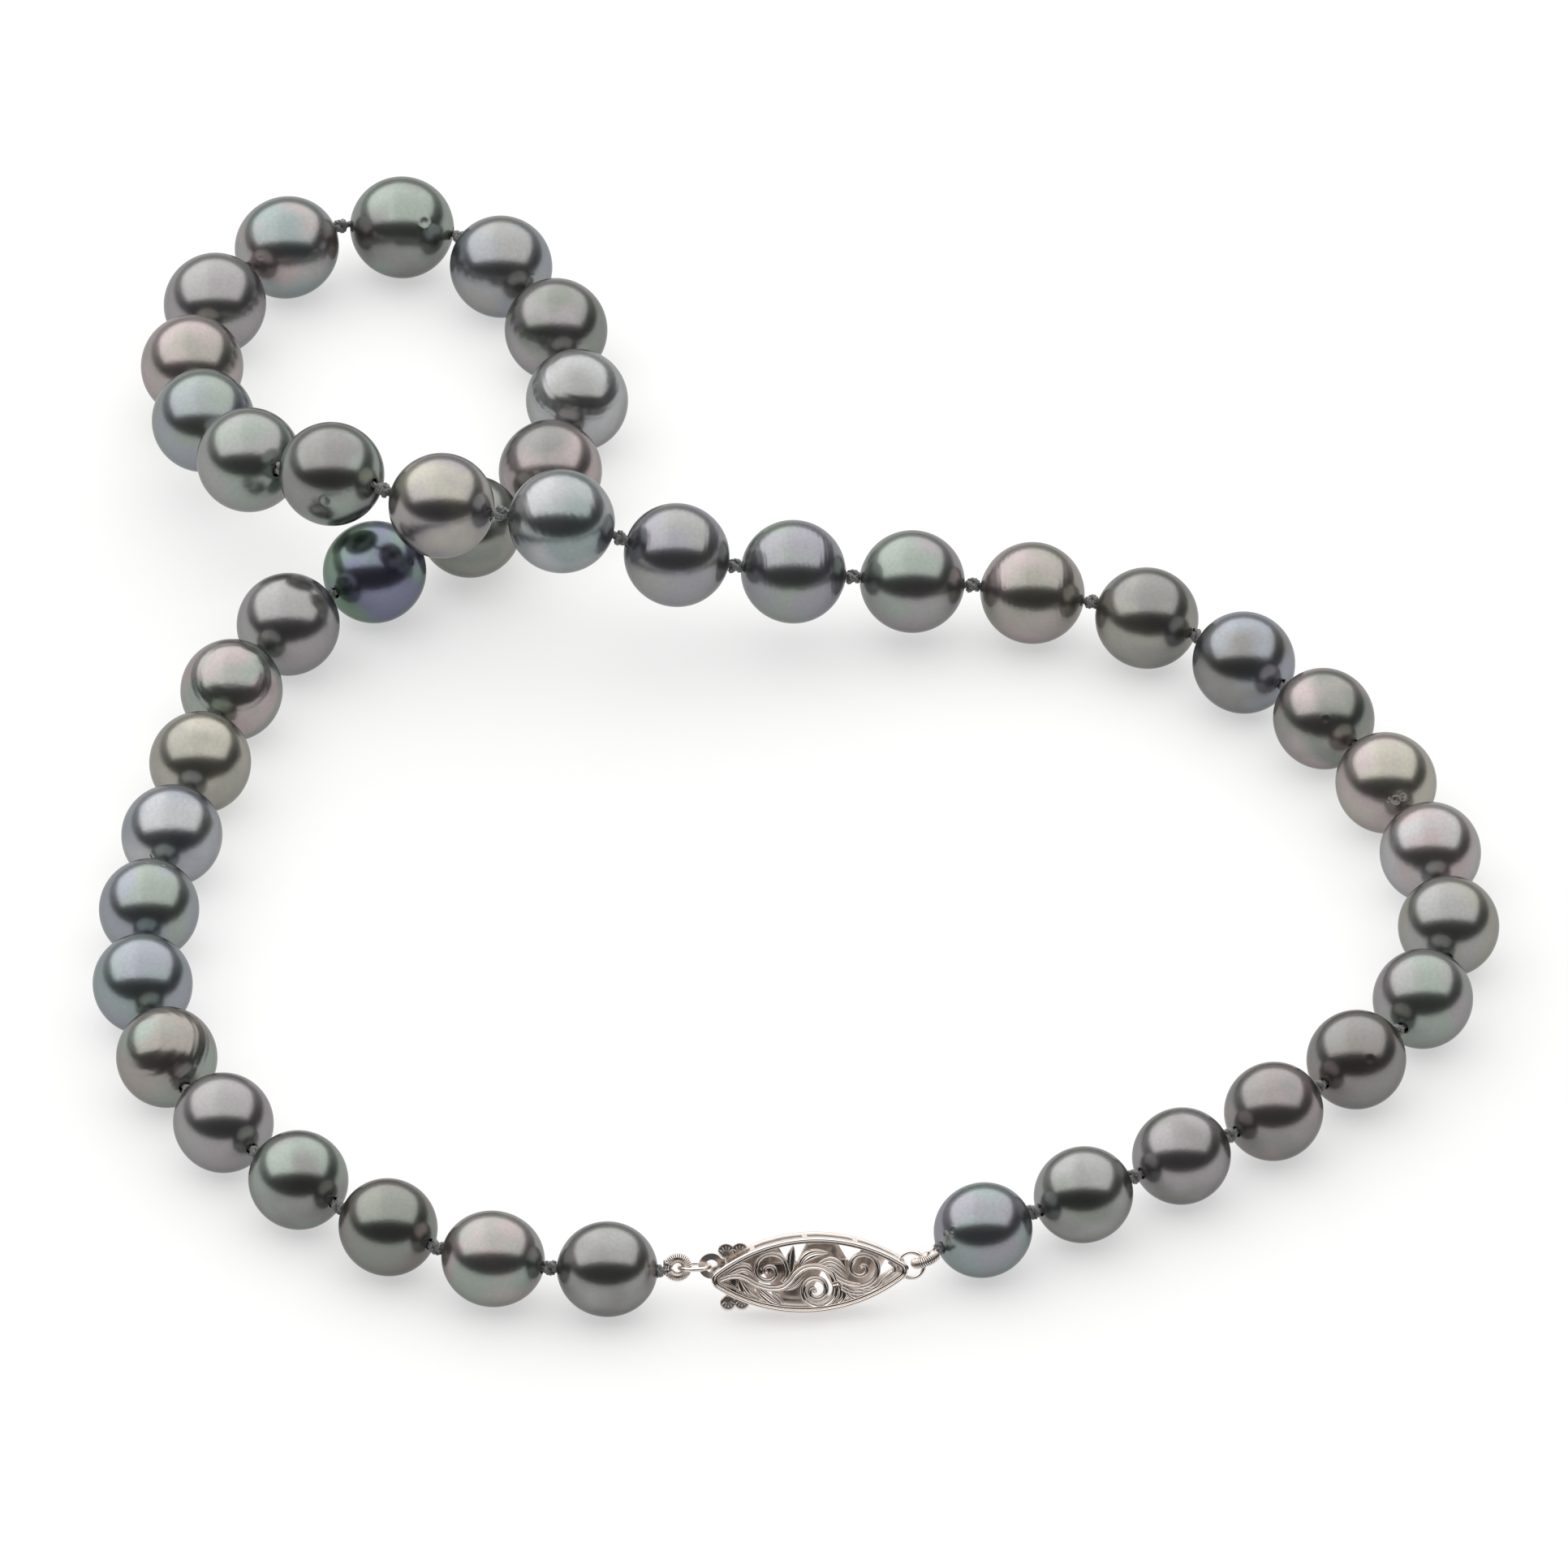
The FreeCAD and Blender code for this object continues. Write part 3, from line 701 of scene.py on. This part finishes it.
def make_back_rim():
    """The back rim and the slanting bars across it."""
    low, high = -1.5, -1.05
    width = 0.9
    outer_soft, soft = 0.08, 0.06
    section = [(soft, low), (0.0, low + outer_soft), (0.0, high - outer_soft), (soft, high),
               (width - soft, high), (width, high - soft), (width, low + soft), (width - soft, low)]
    bar_step = 2.6
    bar_lean = 28
    bar_margin = 0.25
    bar_sunk = 0.01
    path_steps = 12
    parts = [swept_rim(rim_outline(), section)]
    for k in range(5):
        along = (k - 2) * bar_step
        lean = math.radians(bar_lean if k % 2 else -bar_lean)
        reach = (edge_at(along) - bar_margin) / math.cos(lean)
        way = Vector((-math.sin(lean), math.cos(lean), 0))
        start = Vector((along, 0, (low + high) / 2)) - way * reach
        path = [start + way * reach * 2 * step / path_steps for step in range(path_steps + 1)]
        bar_points, bar_faces = bar_along(path, BACK_BAR_WIDTH / 2, (high - low) / 2 - bar_sunk)
        parts.append(([inside_rim(point) for point in bar_points], bar_faces))
    rim = mesh_piece("back_rim", *merge(parts), CLASP)
    metal(rim, STAMPED)
    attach(rim, "clasp")
    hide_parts("clasp_back_plate")


def inside_rim(point):
    """The point, brought in across the clasp where it lies outside the outline."""
    margin = 0.15
    edge = edge_at(point.x) - margin
    return Vector((point.x, max(-edge, min(edge, point.y)), point.z))


def bar_along(path, half_width, half_height):
    """A flat bar with softened edges along a path in the clasp's plane."""
    soft = 0.06
    section = [(-half_width, -half_height + soft), (-half_width + soft, -half_height),
               (half_width - soft, -half_height), (half_width, -half_height + soft),
               (half_width, half_height - soft), (half_width - soft, half_height),
               (-half_width + soft, half_height), (-half_width, half_height - soft)]
    return swept_strip(path, [1.0] * len(path), section)


def swept_strip(path, widths, section):
    """A strip along a path in the clasp's plane: section is (across, height), scaled by the widths."""
    points = []
    for k, spot in enumerate(path):
        before = path[max(k - 1, 0)]
        after = path[min(k + 1, len(path) - 1)]
        tangent = (after - before).normalized()
        across = Vector((-tangent.y, tangent.x, 0)).normalized()
        for side, height in section:
            points.append(spot + across * side * widths[k] + Vector((0, 0, height)))
    faces = grid_faces(len(path), len(section))
    faces.append(tuple(range(len(section)))[::-1])
    faces.append(tuple(range(len(points) - len(section), len(points))))
    return points, faces


# ---------------------------------------------------------------- scrollwork

SCROLL_LOW = 0.72           # underside of the scrollwork in the clasp's frame


def both_sides(half, groove):
    """A section across a stem or leaf: its left half, the bottom of its groove, and its mirrored half."""
    return half + [(0.0, groove)] + [(-across, height) for across, height in half[::-1]]


# Each point is (share of the half-width, height).
STEM_SECTION = both_sides(
    [(-1.0, 0.0), (-1.0, 0.33), (-0.85, 0.46), (-0.60, 0.52), (-0.35, 0.50), (-0.15, 0.43)], 0.40)
LEAF_SECTION = both_sides(
    [(-1.0, 0.0), (-1.0, 0.26), (-0.88, 0.36), (-0.62, 0.42), (-0.30, 0.41), (-0.08, 0.34)], 0.30)


def flat(points):
    """Points on the plane that the scrollwork stands on."""
    return [Vector((x, y, SCROLL_LOW)) for x, y in points]


def scroll_stem(points, thick, thin, rise=0.0):
    """A grooved stem that tapers from thick to thin half-widths. rise lifts it over what it crosses."""
    path = smooth_path(flat(points), 10)
    count = len(path) - 1
    widths = [thick + (thin - thick) * (k / count) for k in range(count + 1)]
    section = [(side, height + rise) for side, height in STEM_SECTION]
    return swept_strip(path, widths, section)


def scroll_spiral(round_middle, eye, outer, start, turns, thick, thin):
    """A grooved stem wound into a spiral about a middle that drifts to its round eye.

    Angles are in degrees, turns are signed and widths are half-widths.
    """
    inner = 0.14
    steps = int(abs(turns) * 40)
    path = []
    for k in range(steps + 1):
        share = k / steps
        radius = inner + (outer - inner) * (1 - share) ** 0.8
        angle = math.radians(start) + 2 * math.pi * turns * share
        x = round_middle[0] + (eye[0] - round_middle[0]) * share + radius * math.cos(angle)
        y = round_middle[1] + (eye[1] - round_middle[1]) * share + radius * math.sin(angle)
        path.append(Vector((x, y, SCROLL_LOW)))
    widths = [thick + (thin - thick) * k / steps for k in range(steps + 1)]
    return merge([swept_strip(path, widths, STEM_SECTION), knob(*eye, inner * 1.4)])


def knob(x, y, radius):
    """A low round boss on the scrollwork."""
    rings = 6
    columns = 16
    foot, height = 0.18, 0.36
    tip_size = 0.001
    points = []
    for ring in range(rings + 1):
        angle = math.pi / 2 * ring / rings
        size = radius * math.cos(angle) + tip_size
        for k in range(columns):
            turn = 2 * math.pi * k / columns
            points.append(Vector((x + size * math.cos(turn), y + size * math.sin(turn),
                                  SCROLL_LOW + foot + height * math.sin(angle))))
    return points, grid_faces(rings + 1, columns)


def scroll_leaf(points, width, rise=0.04, fullest=0.45):
    """A pointed leaf with a crease along its middle.

    width is its half-width where it is fullest, and fullest is how far along that is, as a share.
    """
    tip = 0.035
    power = math.log(0.5) / math.log(fullest)
    path = smooth_path(flat(points), 10)
    count = len(path) - 1
    swells = [math.sin(math.pi * (k / count) ** power) ** 0.8 for k in range(1, count)]
    widths = [tip] + [tip + width * swell for swell in swells] + [tip]
    section = [(side, height + rise) for side, height in LEAF_SECTION]
    return swept_strip(path, widths, section)


def stems():
    """The long S stem, its branch to the right spiral, and the short stems that join the rim."""
    return [
        scroll_stem([(-7.9, -0.05), (-7.0, 0.2), (-6.15, 0.2), (-5.45, -0.1), (-4.7, -0.6), (-3.6, -1.0),
                     (-2.5, -1.0), (-1.75, -0.5), (-1.2, 0.15), (-0.5, 0.62), (0.35, 0.76), (1.2, 0.57),
                     (1.85, 0.05), (2.15, -0.75)], 0.24, 0.32, 0.06),
        scroll_stem([(1.2, 0.6), (1.85, 0.15), (2.55, -0.5), (3.4, -0.95), (4.4, -1.15)], 0.30, 0.25, 0.03),
        scroll_stem([(2.75, -1.3), (3.75, -1.8), (4.9, -1.8), (5.9, -1.35), (6.6, -0.65), (7.4, -0.1)],
                    0.20, 0.24),
        scroll_stem([(-7.75, -0.2), (-6.75, -0.75), (-5.6, -1.5), (-4.5, -2.15)], 0.10, 0.10),
        scroll_stem([(6.3, -1.0), (7.2, -0.4), (7.5, 0.2), (7.0, 0.75)], 0.16, 0.12),
    ]


def spirals():
    """The left, lower and right spirals."""
    return [
        scroll_spiral((-3.4, 0.80), (-3.75, 0.40), 1.62, -55, 1.65, 0.25, 0.15),
        scroll_spiral((0.70, -1.35), (0.42, -1.50), 1.60, 16, -1.8, 0.32, 0.17),
        scroll_spiral((4.60, 0.30), (4.60, 0.45), 1.72, 229, 1.55, 0.25, 0.15),
    ]


def leaves():
    """The pointed leaves, from left to right."""
    return [
        scroll_leaf([(-7.6, 0.15), (-6.75, 0.95), (-5.9, 1.25), (-5.25, 1.05), (-4.85, 0.5)], 0.20, 0.0),
        scroll_leaf([(-7.45, 0.05), (-6.45, 0.55), (-5.6, 0.7), (-4.7, 0.1)], 0.20, 0.05),
        scroll_leaf([(-6.2, 0.0), (-5.9, -0.8), (-5.4, -1.5), (-4.5, -1.95)], 0.36, 0.0),
        scroll_leaf([(-4.7, -0.9), (-4.1, -1.55), (-3.4, -2.15), (-2.6, -2.5)], 0.38, 0.0),
        scroll_leaf([(-3.35, -1.35), (-2.8, -1.8), (-2.35, -2.4)], 0.22, 0.03),
        scroll_leaf([(-2.4, -1.2), (-1.5, -1.0), (-0.8, -0.45), (-0.45, 0.1)], 0.24, 0.0),
        scroll_leaf([(-1.6, 0.25), (-1.6, 1.1), (-1.5, 1.85), (-1.3, 2.6)], 0.38, 0.0),
        scroll_leaf([(-0.9, 0.65), (-0.35, 1.45), (0.5, 1.85), (1.75, 1.9)], 0.42, 0.02, 0.55),
        scroll_leaf([(0.7, 0.85), (1.65, 1.2), (2.5, 0.95), (3.2, 0.25)], 0.30, 0.02),
        scroll_leaf([(0.9, 0.6), (1.9, 0.65), (2.6, 0.2), (3.3, -0.5)], 0.24, 0.08),
        scroll_leaf([(2.2, -0.45), (2.85, -1.35), (2.75, -2.25), (1.9, -2.8)], 0.36, 0.0),
        scroll_leaf([(2.9, -1.2), (3.6, -2.0), (4.45, -2.2), (5.3, -2.05)], 0.34, 0.02),
        scroll_leaf([(3.55, -1.25), (4.45, -1.6), (5.45, -1.55), (6.15, -1.1)], 0.26, 0.06),
    ]


def make_scrollwork():
    work = mesh_piece("scrollwork", *merge(stems() + spirals() + leaves()), CLASP)
    metal(work, POLISHED)
    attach(work, "clasp")
    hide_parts("clasp_filigree")


# ---------------------------------------------------------------- tongue and thumb tabs

def plate(outline, low, high, dome=0.0, rings=1):
    """A flat plate with softened edges from an outline that goes round anticlockwise.

    dome is how much its middle rises above its edge, in so many rings.
    """
    soft = min(0.05, (high - low) / 3)
    brink = 0.965
    middle = sum(outline, Vector()) / len(outline)
    levels = [(brink, low), (1.0, low + soft), (1.0, high - soft), (brink, high)]
    for ring in range(1, rings + 1):
        share = ring / (rings + 1)
        levels.append((brink * (1 - share), high + dome * share))
    points = []
    for scale, height in levels:
        for spot in outline:
            flat_spot = middle + (spot - middle) * scale
            points.append(Vector((flat_spot.x, flat_spot.y, height)))
    count = len(outline)
    faces = grid_faces(len(levels), count)
    faces.append(tuple(range(count))[::-1])
    faces.append(tuple(range(len(points) - count, len(points))))
    return points, faces


def arc(middle, radius, start, end, count=24):
    """Points of an arc in the clasp's plane, angles in degrees."""
    spots = []
    for k in range(count + 1):
        angle = math.radians(start + (end - start) * k / count)
        spots.append(Vector((middle[0] + radius * math.cos(angle), middle[1] + radius * math.sin(angle), 0)))
    return spots


EYE = (-8.45, 0.9)
EYE_RADIUS = 1.12
EYE_HOLE = 0.56
TAB_LOW, TAB_HIGH = -0.1, 0.1
LOBE_PLACES = (-7.15, -5.95)
LOBE_RADIUS = 0.7
LOBE_REACH = 2.35
ARM_LEFT, ARM_RIGHT = -7.3, -5.8


def make_tongue():
    """The tongue's eye, its neck and its shank, in one thickness."""
    low, high = -0.95, -0.6
    corners = [(-7.5, -0.4), (-5.2, -0.4), (-5.1, 0.1), (3.5, 0.1), (3.6, 0.2),
               (3.6, 0.8), (3.5, 0.9), (-5.1, 0.9), (-5.2, 1.45), (-7.5, 1.5)]
    outer = arc(EYE, EYE_RADIUS, 55, 290, 60) + [Vector((x, y, 0)) for x, y in corners]
    hole = arc(EYE, EYE_HOLE, 0, 360, 47)
    tongue = mesh_piece("tongue", *plate_with_hole(outer, hole, low, high), CLASP, smooth=False)
    soften(tongue, 0.05 * MM)
    metal(tongue, STAMPED)
    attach(tongue, "hook")
    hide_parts("hook_tongue")


def plate_with_hole(outer, hole, low, high):
    """A plate with one hole. The two outlines are filled between as a curve would be."""
    curve = bpy.data.curves.new("plate", "CURVE")
    curve.dimensions = "2D"
    curve.fill_mode = "BOTH"
    curve.extrude = (high - low) / 2
    for outline in (outer, hole):
        spline = curve.splines.new("POLY")
        spline.points.add(len(outline) - 1)
        for point, spot in zip(spline.points, outline):
            point.co = (spot.x, spot.y, 0, 1)
        spline.use_cyclic_u = True
    thing = bpy.data.objects.new("plate", curve)
    bpy.context.scene.collection.objects.link(thing)
    bpy.context.view_layer.update()
    mesh = bpy.data.meshes.new_from_object(thing.evaluated_get(bpy.context.evaluated_depsgraph_get()))
    middle = Vector((0, 0, (low + high) / 2))
    points = [v.co + middle for v in mesh.vertices]
    faces = [tuple(p.vertices) for p in mesh.polygons]
    bpy.data.objects.remove(thing)
    return points, faces


def soften(piece, width):
    """Rounds a piece's sharp edges a little."""
    weld = piece.modifiers.new("weld", "WELD")
    weld.merge_threshold = 0.002 * MM
    bevel = piece.modifiers.new("soft_edges", "BEVEL")
    bevel.width = width
    bevel.segments = 2
    bevel.limit_method = "ANGLE"
    bevel.harden_normals = True


def lobe_strokes(along, reach, side):
    """Five strokes that start beside a lobe's middle and fan out to its edge."""
    between = 26
    thickness = [0.02, 0.045, 0.055, 0.055, 0.04, 0.015]
    root = Vector((along, reach - LOBE_RADIUS / 2 * side, TAB_HIGH + 0.02))
    strokes = []
    for k in range(5):
        turn = math.radians(90 * side + (k - 2) * between)
        way = Vector((math.cos(turn), math.sin(turn), 0))
        line = [root + way * (0.28 + 0.09 * step) for step in range(len(thickness))]
        strokes.append(tube(line, thickness, 6))
    return strokes


def make_thumb_tab(node, side):
    """Two round lobes on one arm, with short raised strokes that fan out over each lobe."""
    parts = []
    start = 1.25 if side > 0 else -0.7
    reach = LOBE_REACH * side
    for along in LOBE_PLACES:
        lobe = arc((along, reach), LOBE_RADIUS, 0, 360, 47)[:-1]
        parts.append(plate(lobe, TAB_LOW, TAB_HIGH, dome=0.03, rings=3))
        parts += lobe_strokes(along, reach, side)
    near, far = sorted((start, reach))
    arm = [(ARM_LEFT, near), (ARM_RIGHT, near), (ARM_RIGHT, far), (ARM_LEFT, far)]
    parts.append(plate([Vector((x, y, 0)) for x, y in arm], TAB_LOW, TAB_HIGH - 0.02))
    tab = mesh_piece(node + "_lobes", *merge(parts), CLASP)
    metal(tab, STAMPED)
    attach(tab, "leaf")
    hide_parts(node)


def dress_hidden_metal():
    """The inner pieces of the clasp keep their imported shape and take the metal's finish."""
    for node in ("clasp_posts", "end_post", "catch_bar", "spring_leaf"):
        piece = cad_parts[node]
        piece.data.materials.clear()
        piece.data.materials.append(DRAWN)


# ---------------------------------------------------------------- stage

def make_floor():
    """A pale sheet that is lit partly by itself, so that shadows on it stay pale."""
    half = 6.0
    floor = mesh_piece("floor", [(-half, -half, 0), (half, -half, 0), (half, half, 0), (-half, half, 0)],
                       [(0, 1, 2, 3)], smooth=False)
    material, _, shader = new_material("paper")
    shader.inputs["Base Color"].default_value = (0.41, 0.41, 0.41, 1)
    shader.inputs["Emission Color"].default_value = (1, 1, 1, 1)
    shader.inputs["Emission Strength"].default_value = 0.52
    shader.inputs["Roughness"].default_value = 0.9
    shader.inputs["Specular IOR Level"].default_value = 0.1
    floor.data.materials.append(material)


def make_softbox(name, width, middle, energy):
    """A soft light overhead that faces down. Its width along X and its place are in metres."""
    light = bpy.data.lights.new(name, "AREA")
    light.shape = "RECTANGLE"
    light.size = width
    light.size_y = 3.2
    light.energy = energy
    light.color = (1.0, 0.995, 0.98)
    box = bpy.data.objects.new(name, light)
    box.location = middle
    bpy.context.scene.collection.objects.link(box)


def make_lights():
    """A ceiling-sized softbox, its middle behind the necklace, and a fill to brighten its left half."""
    make_softbox("softbox", 4.4, (-0.3, 0.88, 1.0), 67.0)
    make_softbox("left_fill", 2.2, (-1.4, 0.88, 0.99), 6.0)


def make_room():
    """A room that is dim behind the camera and on the right, and paler beyond the table."""
    world = bpy.data.worlds.new("room")
    bpy.context.scene.world = world
    world.use_nodes = True
    tree = world.node_tree
    where = add_node(tree, "ShaderNodeTexCoord")
    split = add_node(tree, "ShaderNodeSeparateXYZ", {"Vector": where.outputs["Generated"]})
    beyond = add_node(tree, "ShaderNodeMath", {
        0: split.outputs["X"], 1: -0.25, 2: split.outputs["Y"],
    }, operation="MULTIPLY_ADD")
    depth = add_node(tree, "ShaderNodeMapRange", {
        "Value": beyond.outputs["Value"], "From Min": -0.15, "From Max": 1.15, "To Min": 0.03, "To Max": 0.55,
    }, interpolation_type="SMOOTHSTEP")
    back = tree.nodes["Background"]
    tree.links.new(depth.outputs["Result"], back.inputs["Color"])
    back.inputs["Strength"].default_value = 1.0


def make_camera():
    """A long lens that looks down on the strand from in front of it."""
    lens = bpy.data.cameras.new("camera")
    lens.lens = LENS
    lens.sensor_width = 36
    lens.clip_end = 50
    camera = bpy.data.objects.new("camera", lens)
    away = Vector((0, -math.cos(VIEW_HEIGHT), math.sin(VIEW_HEIGHT)))
    camera.location = VIEW_TARGET + away * VIEW_DISTANCE
    camera.rotation_euler = (math.pi / 2 - VIEW_HEIGHT, 0, 0)
    bpy.context.scene.collection.objects.link(camera)
    bpy.context.scene.camera = camera
    bpy.context.scene.view_settings.view_transform = "Standard"


# ---------------------------------------------------------------- everything

def build():
    for number in range(1, PEARL_COUNT + 1):
        make_pearl(number)
    make_silk()
    make_jump_ring("jump_ring_left", "ring_left", radius=1.35, wire=0.2)
    make_jump_ring("jump_ring_right", "ring_right", radius=1.15, wire=0.18)
    make_coil("gimp_left", 1)
    make_coil("gimp_right", PEARL_COUNT)
    make_front_rim()
    make_back_rim()
    make_scrollwork()
    make_tongue()
    make_thumb_tab("tab_upper", side=1)
    make_thumb_tab("tab_lower", side=-1)
    dress_hidden_metal()
    make_floor()
    make_lights()
    make_room()
    make_camera()


build()
